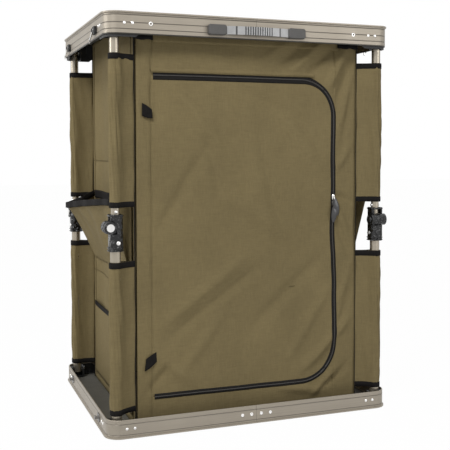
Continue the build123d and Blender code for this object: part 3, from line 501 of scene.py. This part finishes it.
# ---------------------------------------------------------------- walls
def wall_bulge(y, z, seed):
    """How far a wall stands out: upright waves, slack, and the pull of the shelves' seams."""
    edge = max(0.0, min(1.0, (CAB_Y - abs(y - SHIFT)) / 0.04) * min(1.0, (z - LOW) / 0.04, (TOP - z) / 0.04))
    upright = 0.0024 * math.sin(y * 38 + 1.6 * crumple(y, z, seed, 3.0)) + 0.0028 * crumple(y, z, seed, 7.0)
    upright += 0.0012 * crumple(y, z, seed + 2, 18.0)
    pull = sum(-0.0022 * math.exp(-((z - seam_z) / 0.010) ** 2) for seam_z in SHELF_SEAMS)
    return (upright + pull + 0.0005 * crumple(y, z, seed + 1, 30.0)) * edge


def wall_point(side, y, z, lift):
    """A point on a side wall, lifted from the cabinet's plane."""
    return Vector((side * (CAB_X + lift + wall_bulge(y, z, 5 + side)), y, z))


walls = []
for side, name in ((-1, "left_wall"), (1, "right_wall")):
    wall = surface(lambda y, z: wall_point(side, y, z, -0.002), span(-CAB_Y + SHIFT, CAB_Y + SHIFT, 60),
                   span(LOW, TOP, 110))
    walls.append(finish_piece(f"{name}_cloth", *wall, CLOTH, "base", "cloth", [name], thick=CLOTH_THICK))
wall = surface(lambda x, z: Vector((x, CAB_Y + SHIFT - 0.002 + wall_bulge(x * 0.8, z, 9), z)),
               span(-CAB_X + 0.004, CAB_X - 0.004, 70), span(LOW, TOP, 110))
walls.append(finish_piece("back_wall_cloth", *wall, CLOTH, "base", "cloth", ["back_wall"], thick=CLOTH_THICK))

# Lines of stitching on the side walls: the shelves' seams and the edges of the pocket panel
wall_seams = []
for side, name in ((-1, "left"), (1, "right")):
    lines = [[wall_point(side, y, z, -0.0012) for y in span(-0.19 + SHIFT, 0.19 + SHIFT, 50)] for z in SHELF_SEAMS]
    lines += [[wall_point(side, y, z, -0.0012) for z in span(LOW + 0.01, TOP - 0.01, 90)]
              for y in (-0.176 + SHIFT, 0.176 + SHIFT)]
    wall_seams.append(finish_piece(f"{name}_wall_seams", *join(*[tube_path(line, 0.0011, 6) for line in lines]),
                                   CLOTH_DARK, "base", "cloth"))

# Shelves: padded boards in cloth that sag a little
def shelf_point(u, v, i):
    """A point of shelf i, from -1 to 1 across its width (u) and its depth (v)."""
    x, y = u * SIDE, v * (CAB_Y - 0.0045)
    sag = 0.006 * (1 - u * u) * (1 - 0.6 * v * v)
    return Vector((x, y + SHIFT, SHELVES[i] + 0.0015 - sag + 0.0008 * crumple(x, y, 20 + i, 12.0)))


shelf_pieces = []
for i in range(len(SHELVES)):
    shelf = surface(lambda u, v: shelf_point(u, v, i), span(-1, 1, 40), span(-1, 1, 34))
    shelf_pieces.append(finish_piece(f"shelf_cloth_{i + 1}", *shelf, CLOTH_DARK, "base", "cloth",
                                     ["shelves"] if i == 0 else [], thick=SHELF_THICK))


# ---------------------------------------------------------------- sleeves and bindings
def sleeve_outline(sx, sy, tube_r, grow, bow=-0.0032):
    """Plan of a sleeve: round its tube, then drawn in to the sewn edge of the cabinet.

    grow moves the outline outwards, and bow is how far its two flat sides stand out."""
    leg = Vector((sx * LEG_X, sy * LEG_Y + SHIFT))
    tail = Vector((sx * (CAB_X + 0.0012), sy * (CAB_Y - 0.001) + SHIFT))
    d = tail - leg
    base = math.atan2(d.y, d.x)
    r, tr, length = tube_r + 0.0016 + grow, 0.0016 + grow, d.length
    lean = math.acos((r - tr) / length)

    def ray(angle):
        return Vector((math.cos(angle), math.sin(angle)))

    def flat_side(n, start, end):
        return [start.lerp(end, i / 8) + n * bow * math.sin(math.pi * i / 8) for i in range(1, 8)]

    near, far = ray(base - lean), ray(base + lean)
    return ([leg + ray(base + lean + (2 * math.pi - 2 * lean) * i / 24) * r for i in range(25)]
            + flat_side(near, leg + near * r, tail + near * tr)
            + [tail + ray(base - lean + 2 * lean * i / 4) * tr for i in range(5)]
            + flat_side(far, tail + far * tr, leg + far * r))


def sleeve(sx, sy, tube_r, z0, z1, seed):
    """Cloth round one tube, loose between its two bands."""
    verts, rows = [], span(z0, z1, 44)
    leg = Vector((sx * LEG_X, sy * LEG_Y + SHIFT))
    for z in rows:
        end = min(1.0, (z - z0) / 0.03, (z1 - z) / 0.03)
        bow = -0.0032 + end * 0.0040 * noise.noise(Vector((seed, z * 14.0, 0.5)))
        ring = sleeve_outline(sx, sy, tube_r, 0.0, bow)
        for i, p in enumerate(ring):
            loose = end * (0.0040 * noise.noise(Vector((i * 0.24, z * 13.0 + i * 0.30, seed)))
                           + 0.0011 * noise.noise(Vector((i * 0.7, z * 36.0 - i * 0.4, seed + 5))))
            place = p + (p - leg).normalized() * max(loose, -0.0013)
            verts.append(Vector((place.x, place.y, z)))
    return verts, grid_faces(len(rows), len(ring), closed=True)


def band(sx, sy, tube_r, z0, z1):
    """Folded tape over the end of a sleeve."""
    verts = []
    rings = [(0.0002, z0), (0.0011, z0 + 0.0007), (0.0013, (z0 + z1) / 2), (0.0011, z1 - 0.0007), (0.0002, z1),
             (-0.0012, z1), (-0.0012, z0), (0.0002, z0)]
    for grow, z in rings:
        ring = sleeve_outline(sx, sy, tube_r, grow)
        verts += [Vector((p.x, p.y, z)) for p in ring]
    return verts, grid_faces(len(rings), len(ring), closed=True)


sleeve_cloth, sleeve_tape = {}, []
for level, tube_r, (z0, z1) in (("lower", LOWER_TUBE_R, LOWER_SLEEVE), ("upper", UPPER_TUBE_R, UPPER_SLEEVE)):
    bands = []
    for i, (corner, (sx, sy, turn)) in enumerate(corners.items()):
        sleeve_cloth[level, corner] = finish_piece(
            f"{level}_sleeve_{corner}", *sleeve(sx, sy, tube_r, z0, z1, 3.1 * i + 5), CLOTH, "base", "cloth",
            [f"{level}_sleeves"] if i == 0 else [], thick=THIN_CLOTH)
        bands += [band(sx, sy, tube_r, z0, z0 + 0.011), band(sx, sy, tube_r, z1 - 0.012, z1)]
    sleeve_tape.append(finish_piece(f"{level}_sleeve_tape", *join(*bands), TAPE, "base", "zip"))

# Black piping down the four upright edges of the cabinet; its black is partly piping and partly painted shade of the
# gap where the sleeves meet the cabinet
piping_and_shade = [tube_path([Vector((sx * (CAB_X - 0.0012), sy * (CAB_Y - 0.0008) + SHIFT, z)) for z in span(LOW, TOP, 50)],
                    0.0013) for sx in (-1, 1) for sy in (-1, 1)]
piping_and_shade_piece = finish_piece("corner_piping_and_shade", *join(*piping_and_shade), TAPE, "base", "zip")


# ---------------------------------------------------------------- pockets
def pocket_plan(side, v):
    """Plan of a bellows pocket at height share v: out from the wall, along the front and back, gussets folded in."""
    half, wall = POCKET_HALF + 0.002, CAB_X + 0.0008
    reach, fold, loose = 0.0012 + POCKET_OUT * v, 0.020 * v, v * (1.25 - v)
    gussets = []
    for end, deep in ((-1, reach * POCKET_FRONT), (1, reach)):
        corner = [(wall, end * (half + 0.008)), (wall + deep * 0.25, end * (half + 0.004 - fold * 0.5)),
                  (wall + deep * 0.52, end * (half - fold)), (wall + deep * 0.78, end * (half - fold * 0.4)),
                  (wall + deep, end * half)]
        gusset = []
        for (x0, y0), (x1, y1) in zip(corner, corner[1:]):
            gusset += [(x0 + (x1 - x0) * t / 4, y0 + (y1 - y0) * t / 4) for t in range(4)]
        gussets.append(gusset + [corner[-1]])
    run = []
    for t in span(0, 1, 44)[1:-1]:
        slack = loose * (0.016 * noise.noise(Vector((t * 6.0, v * 1.8, 7.0 + side)))
                         - 0.012 * math.exp(-((t - 0.38 + 0.2 * v) / 0.07) ** 2)
                         - 0.009 * math.exp(-((t - 0.72 - 0.1 * v) / 0.05) ** 2)) + 0.002 * v * math.sin(math.pi * t)
        deep = reach * (POCKET_FRONT + (1 - POCKET_FRONT) * t)
        run.append((wall + max(0.0008, deep + slack), -half + t * 2 * half))
    return gussets[0] + run + gussets[1][::-1]


def pocket_point(side, v, x, y):
    """Rises to the wall at both ends, and hangs lowest at its outermost back corner."""
    out = min(1.0, max(0.0, (x - CAB_X) / 0.066))
    lean = min(1.0, max(0.0, (y + POCKET_HALF) / (2 * POCKET_HALF)))
    return Vector((side * x, y + SHIFT, POCKET_FOOT + v * POCKET_RISE - v * out * (0.002 + 0.025 * lean)))


def rim_tape(rim):
    """Folded tape over the rim of a bellows pocket."""
    verts, last = [], len(rim) - 1
    profile = [(0.0009, -0.0125), (0.0016, -0.0115), (0.0016, 0.0004), (0.0, 0.0012), (-0.0016, 0.0004),
               (-0.0016, -0.0115)]
    for outwards, rise in profile:
        for i, p in enumerate(rim):
            t = (rim[min(i + 1, last)] - rim[max(i - 1, 0)]).normalized()
            n = Vector((t.y, -t.x, 0)).normalized() * outwards
            verts.append(p + Vector((n.x, n.y, rise)))
    return verts, grid_faces(len(profile), len(rim))


bellows_cloth, rims = [], []
for side, name in ((-1, "left"), (1, "right")):
    rows = [[pocket_point(side, v, x, y) for x, y in pocket_plan(side, v)] for v in span(0, 1, 28)]
    rims.append(rim_tape(rows[-1]))
    bellows_cloth.append(finish_piece(f"bellows_pocket_{name}", sum(rows, []), grid_faces(len(rows), len(rows[0])),
                                      CLOTH, "base", "cloth", ["bellows_pockets"] if name == "left" else [],
                                      thick=CLOTH_THICK))
pocket_trim = [finish_piece("bellows_pocket_tape", *join(*rims), TAPE, "base", "zip")]

# Black strips on the side walls, painted shade for the inside of the bellows pockets' mouths, seen above the rims
mouth_shade = [surface(lambda y, z: wall_point(side, y, z, 0.0016), span(-0.168 + SHIFT, 0.168 + SHIFT, 60),
                  span(0.436, 0.4535, 5)) for side in (-1, 1)]
pocket_trim.append(finish_piece("bellows_mouth_shade", *join(*mouth_shade), TAPE, "base", "zip", thick=0.0010))


def flat_point(side, u, v):
    """A point of a flat pocket, from -1 to 1 along the wall (u) and from 0 to 1 upwards (v)."""
    y, z = u * FLAT_HALF, FLAT_FOOT + v * FLAT_RISE
    reach = 0.0006 + 0.0022 * v * (1 - u ** 6) + 0.0006 * v * crumple(y, z, 41, 16.0)
    return Vector((side * (CAB_X + reach), y + SHIFT, z))


flat_pockets, flat_tape = [], []
for side, name in ((-1, "left"), (1, "right")):
    flat = surface(lambda u, v: flat_point(side, u, v), span(-1, 1, 40), span(0, 1, 20))
    flat_pockets.append(finish_piece(f"flat_pocket_{name}", *flat, CLOTH, "base", "cloth",
                                     ["flat_pockets"] if name == "left" else [], thick=THIN_CLOTH))
    fold = [(0.0006, -0.010), (0.0011, -0.009), (0.0011, 0.0), (0.0, 0.0008)]
    flat_tape.append(surface(lambda u, row: flat_point(side, u, 1) + Vector((side * fold[row][0], 0, fold[row][1])),
                             span(-1, 1, 40), range(len(fold))))
pocket_trim.append(finish_piece("flat_pocket_tape", *join(*flat_tape), TAPE, "base", "zip"))


# ---------------------------------------------------------------- ties and pullers
def tab(corners_xz, seed):
    """Tie tab of doubled tape: four corners in the front plane, bowed out between them."""
    a, b, c, d = (Vector((x, 0, z)) for x, z in corners_xz)

    def point(u, v):
        p = a.lerp(b, u).lerp(d.lerp(c, u), v)
        bow = 0.0035 * math.sin(math.pi * (0.15 + 0.7 * u)) * (0.7 + 0.3 * noise.noise(Vector((u * 3, v * 3, seed))))
        round_off = 0.0012 * math.sin(math.pi * u) * (1 - 2 * v)
        return Vector((p.x, FRONT - 0.0022 - bow, p.z + round_off))
    return surface(point, span(0, 1, 12), span(0, 1, 8))


upper_tab = tab([(-0.2238, 0.6342), (-0.2045, 0.6216), (-0.2035, 0.6052), (-0.2244, 0.6100)], 1.0)
lower_tab = tab([(-0.2187, 0.1408), (-0.1985, 0.1528), (-0.1975, 0.1343), (-0.2215, 0.1170)], 2.0)
tie_piece = finish_piece("door_tie_tabs", *join(upper_tab, lower_tab), TAPE, "base", "zip", ["door_ties"],
                         thick=0.0014)


def slider_body(seat):
    """A zip slider: its domed shell, which tapers at both ends, and the bail that holds the puller."""
    shell = [(-0.0030, 0.0), (-0.0040, 0.0016), (-0.0034, 0.0034), (0.0, 0.0042), (0.0034, 0.0034),
             (0.0040, 0.0016), (0.0030, 0.0)]
    rows = [(-0.0058, 0.55), (-0.0045, 0.9), (0.0, 1.0), (0.0045, 0.9), (0.0058, 0.55)]
    block = [seat + Vector((a * k, -o * k - 0.0006, dz)) for dz, k in rows for a, o in shell]
    bail = [(-0.0036, 0.004), (-0.0066, 0.002), (-0.0066, -0.004), (-0.0040, -0.006)]
    return join((block, grid_faces(len(rows), len(shell))),
                tube_path([seat + Vector((0, y, z)) for y, z in bail], 0.0009, 8))


def slider_leaf(seat, hang, long=0.036, sides=12):
    """A leaf-shaped puller that hangs at an angle."""
    verts, shares = [], span(0, 1, 18)
    for t in shares:
        wide = 0.0018 + 0.0050 * math.sin(math.pi * min(1.0, t * 0.92 + 0.06)) ** 0.75
        middle = seat + Vector((math.sin(hang) * long * t + 0.0012, -0.0062 - 0.0015 * math.sin(math.pi * t),
                                -0.003 - math.cos(hang) * long * t))
        verts += [middle + Vector((math.cos(q) * wide, math.sin(q) * 0.0011, 0))
                  for q in (2 * math.pi * k / sides for k in range(sides))]
    return verts, grid_faces(len(shares), sides, closed=True)


sliders = []
for name, above, hang, material in (("upper", 0.0068, 0.16, STEEL), ("lower", -0.0068, -0.10, COIL)):
    seat = front_point(DOOR_R, SLIDER_Z + above)
    sliders.append(finish_piece(f"slider_body_{name}", *slider_body(seat), material, f"slider_{name}", "zip",
                                [f"zip_slider_{name}"]))
    sliders.append(finish_piece(f"slider_leaf_{name}", *slider_leaf(seat, hang), LACQUER, f"slider_{name}", "zip"))

# All of this folds flat between the trays on the real cupboard; here each piece only gets a mesh of its own
for piece in (door, front, *sliders, zip_band, zip_coil, zip_flap, front_hem, front_hem_ends, piping_and_shade_piece, tie_piece,
              *bellows_cloth, *flat_pockets, *pocket_trim, *seams, *walls, *wall_seams, *shelf_pieces,
              *sleeve_cloth.values(), *sleeve_tape):
    squashed(piece)


# ---------------------------------------------------------------- small fasteners
def lathe(profile, centre, axis, sides=20):
    """Turned piece: (radius, height) pairs spun about an axis."""
    axis = Vector(axis).normalized()
    a = axis.orthogonal().normalized()
    b = axis.cross(a)
    verts = []
    for r, h in profile:
        for k in range(sides):
            q = 2 * math.pi * k / sides
            verts.append(Vector(centre) + axis * h + (a * math.cos(q) + b * math.sin(q)) * max(r, 1e-5))
    return verts, grid_faces(len(profile), sides, closed=True)


def knuckle_ring(centre, spin, half=0.0133, bevel=0.0052):
    """Raised bead round the bevelled square column of a knuckle."""
    corner = half - bevel
    plan = [(half, -corner), (half, corner), (corner, half), (-corner, half), (-half, corner), (-half, -corner),
            (-corner, -half), (corner, -half)]
    rows = [(-0.0008, -0.0016), (0.00072, -0.0011), (0.0009, 0.0), (0.00072, 0.0011), (-0.0008, 0.0016)]
    verts = []
    for grow, z in rows:
        k = (half + grow) / half
        verts += [centre + spin @ Vector((x * k, y * k, z)) for x, y in plan]
    return verts, grid_faces(len(rows), len(plan), closed=True)


# Profiles of the small pieces as (radius, height)
dome = [(0.0030, -0.0002), (0.0030, 0.0003), (0.0026, 0.0009), (0.0015, 0.0013), (0.0, 0.0014)]
screw = [(0.0034, -0.0002), (0.0034, 0.0007), (0.0029, 0.0011), (0.0012, 0.0011), (0.0010, 0.0005), (0.0, 0.0005)]
eyelet = [(0.0018, -0.0002), (0.0018, 0.0006), (0.0022, 0.0011), (0.0032, 0.0012), (0.0041, 0.0006),
          (0.0043, -0.0002)]
rivet = [(0.0040, -0.0004), (0.0040, 0.0008), (0.0034, 0.0014), (0.0, 0.0015)]
snap = [(0.0032, -0.003), (0.0032, 0.0012), (0.0022, 0.0020), (0.0, 0.0022)]
half_drum = [(0.0086, 0.0138), (0.0100, 0.0138), (0.0108, 0.0130), (0.0108, 0.0112), (0.0116, 0.0098),
             (0.0110, 0.0075), (0.0110, 0.0052), (0.0124, 0.0044), (0.0127, 0.0030), (0.0124, 0.0014),
             (0.0112, 0.0004)]
drum = [(r, -h) for r, h in half_drum] + half_drum[::-1]

# Rivets of the corner brackets, screws of the splices and the two eyelets
for level, z, body in (("base", 0.0184, "base"), ("top", 0.780, "top")):
    parts = []
    for sx in (-1, 1):
        for sy in (-1, 1):
            for d in (0.036, 0.0515):
                parts.append(lathe(dome, (sx * (HALF_W - d), sy * HALF_D + SHIFT, z), (0, sy, 0)))
            for d in (0.048, 0.061):
                parts.append(lathe(dome, (sx * HALF_W, sy * (HALF_D - d) + SHIFT, z), (sx, 0, 0)))
    for x in (-0.030, -0.0105, 0.0105, 0.030):
        parts.append(lathe(screw, (x, HALF_D + SHIFT, z), (0, 1, 0)))
        if level == "base":
            parts.append(lathe(screw, (x, -HALF_D + SHIFT, z), (0, -1, 0)))
    if level == "top":
        for sx in (-1, 1):
            parts.append(lathe(eyelet, (sx * 0.2135, -HALF_D + SHIFT, z), (0, -1, 0)))
    finish_piece(f"{level}_rivets", *join(*parts), STEEL, body, "fastener")

# Rivets, snap buttons, drum and beads of the four knuckles
for name, (sx, sy, turn) in corners.items():
    spin = Matrix.Rotation(math.radians(turn), 3, "Z")
    foot = Vector((sx * LEG_X, sy * LEG_Y + SHIFT, KNUCKLE_Z))

    def put(x, y, z):
        return foot + spin @ Vector((x, y, z))

    def pair(profile, x, y, z):
        """One turned piece on either face of the knuckle."""
        return join(*[lathe(profile, put(x, s * y, z), spin @ Vector((0, s, 0))) for s in (-1, 1)])

    lower, upper = f"lower_{name}", f"upper_{name}"
    finish_piece(f"knuckle_rivets_{name}", *pair(rivet, 0.003, 0.0128, -0.029), STEEL, lower, "fastener")
    finish_piece(f"snap_buttons_{name}", *pair(snap, 0, 0.0078, 0.0295), STEEL, upper, "fastener")
    finish_piece(f"knuckle_drum_{name}", *lathe(drum, put(-OFFSET, 0, 0), spin @ Vector((0, 1, 0)), 36), KNUCKLE,
                 lower, "knuckle")
    finish_piece(f"knuckle_socket_rings_{name}", *join(*[knuckle_ring(put(0, 0, z), spin) for z in (-0.0437, -0.0385)]),
                 KNUCKLE, lower, "knuckle")
    finish_piece(f"knuckle_fork_ring_{name}", *knuckle_ring(put(0, 0, 0.0225), spin), KNUCKLE, upper, "knuckle")


# ---------------------------------------------------------------- set, light and camera
def directly_seen(ns, links):
    """1 for camera, glossy and transmission rays, and 0 for the rays that light the cupboard."""
    path = ns.new("ShaderNodeLightPath")
    mirrored = calc(ns, links, "MAXIMUM", path.outputs["Is Glossy Ray"], path.outputs["Is Transmission Ray"])
    return calc(ns, links, "MAXIMUM", path.outputs["Is Camera Ray"], mirrored)


def blend_shaders(ns, links, output, share, first, second):
    """The output shows the first shader, and share of the second."""
    mix = ns.new("ShaderNodeMixShader")
    links.new(share, mix.inputs[0])
    links.new(first.outputs[0], mix.inputs[1])
    links.new(second.outputs[0], mix.inputs[2])
    links.new(mix.outputs[0], ns.new(output).inputs["Surface"])


FLOOR = 12.0
floor_mesh = bpy.data.meshes.new("floor")
floor_mesh.from_pydata([(-FLOOR, -FLOOR, 0), (FLOOR, -FLOOR, 0), (FLOOR, FLOOR, 0), (-FLOOR, FLOOR, 0)], [],
                       [(0, 1, 2, 3)])
floor = bpy.data.objects.new("floor", floor_mesh)
scene.collection.objects.link(floor)
m = bpy.data.materials.new("floor_paper")
m.use_nodes = True
ns, links = m.node_tree.nodes, m.node_tree.links
ns.clear()
paper = add_node(ns, "ShaderNodeBsdfDiffuse", Color=(0.86, 0.86, 0.86, 1))
glow = add_node(ns, "ShaderNodeEmission", Color=(1, 1, 1, 1), Strength=1.0)
share = calc(ns, links, "MULTIPLY", directly_seen(ns, links), 0.985)
blend_shaders(ns, links, "ShaderNodeOutputMaterial", share, paper, glow)
floor_mesh.materials.append(m)

world = bpy.data.worlds.new("studio")
scene.world = world
world.use_nodes = True
ns, links = world.node_tree.nodes, world.node_tree.links
ns.clear()
ambient = add_node(ns, "ShaderNodeBackground", Color=(1, 1, 1, 1), Strength=0.24)
white = add_node(ns, "ShaderNodeBackground", Color=(1, 1, 1, 1), Strength=1.0)
blend_shaders(ns, links, "ShaderNodeOutputWorld", directly_seen(ns, links), ambient, white)


def area_light(name, place, target, size, power):
    """A round lamp at a place, turned to a target."""
    data = bpy.data.lights.new(name, "AREA")
    data.shape, data.size, data.energy = "DISK", size, power
    lamp = bpy.data.objects.new(name, data)
    lamp.location = place
    lamp.rotation_euler = (Vector(target) - Vector(place)).to_track_quat("-Z", "Y").to_euler()
    scene.collection.objects.link(lamp)


area_light("key", (-1.7, -1.7, 2.5), (0, 0, 0.42), 0.8, 52)
area_light("left", (-2.4, 0.4, 1.3), (0, 0, 0.40), 1.2, 19)
area_light("right_strip", (1.75, -2.5, 1.0), (0.1, 0, 0.5), 1.3, 13)
area_light("top_front", (0.2, -1.8, 2.4), (0, 0, 0.6), 0.8, 8)

# The photo's camera, solved from the trays' corners and the legs. The photo is PHOTO pixels wide and high.
PHOTO, FOCAL = 450, 828.5
camera = bpy.data.cameras.new("camera")
camera.sensor_width, camera.lens = 36.0, FOCAL / PHOTO * 36
camera.shift_x, camera.shift_y = -3.3 / PHOTO, -35.1 / PHOTO
eye = bpy.data.objects.new("camera", camera)
scene.collection.objects.link(eye)
yaw, pitch, roll = math.radians(20.37), math.radians(2.66), math.radians(-0.06)
look = Vector((math.sin(yaw) * math.cos(pitch), math.cos(yaw) * math.cos(pitch), -math.sin(pitch)))
eye.location = (-0.621, -1.744 + SHIFT, 0.542)
eye.rotation_euler = (look.to_track_quat("-Z", "Y").to_matrix() @ Matrix.Rotation(roll, 3, "Z")).to_euler()
scene.camera = eye
scene.view_settings.view_transform = "Standard"
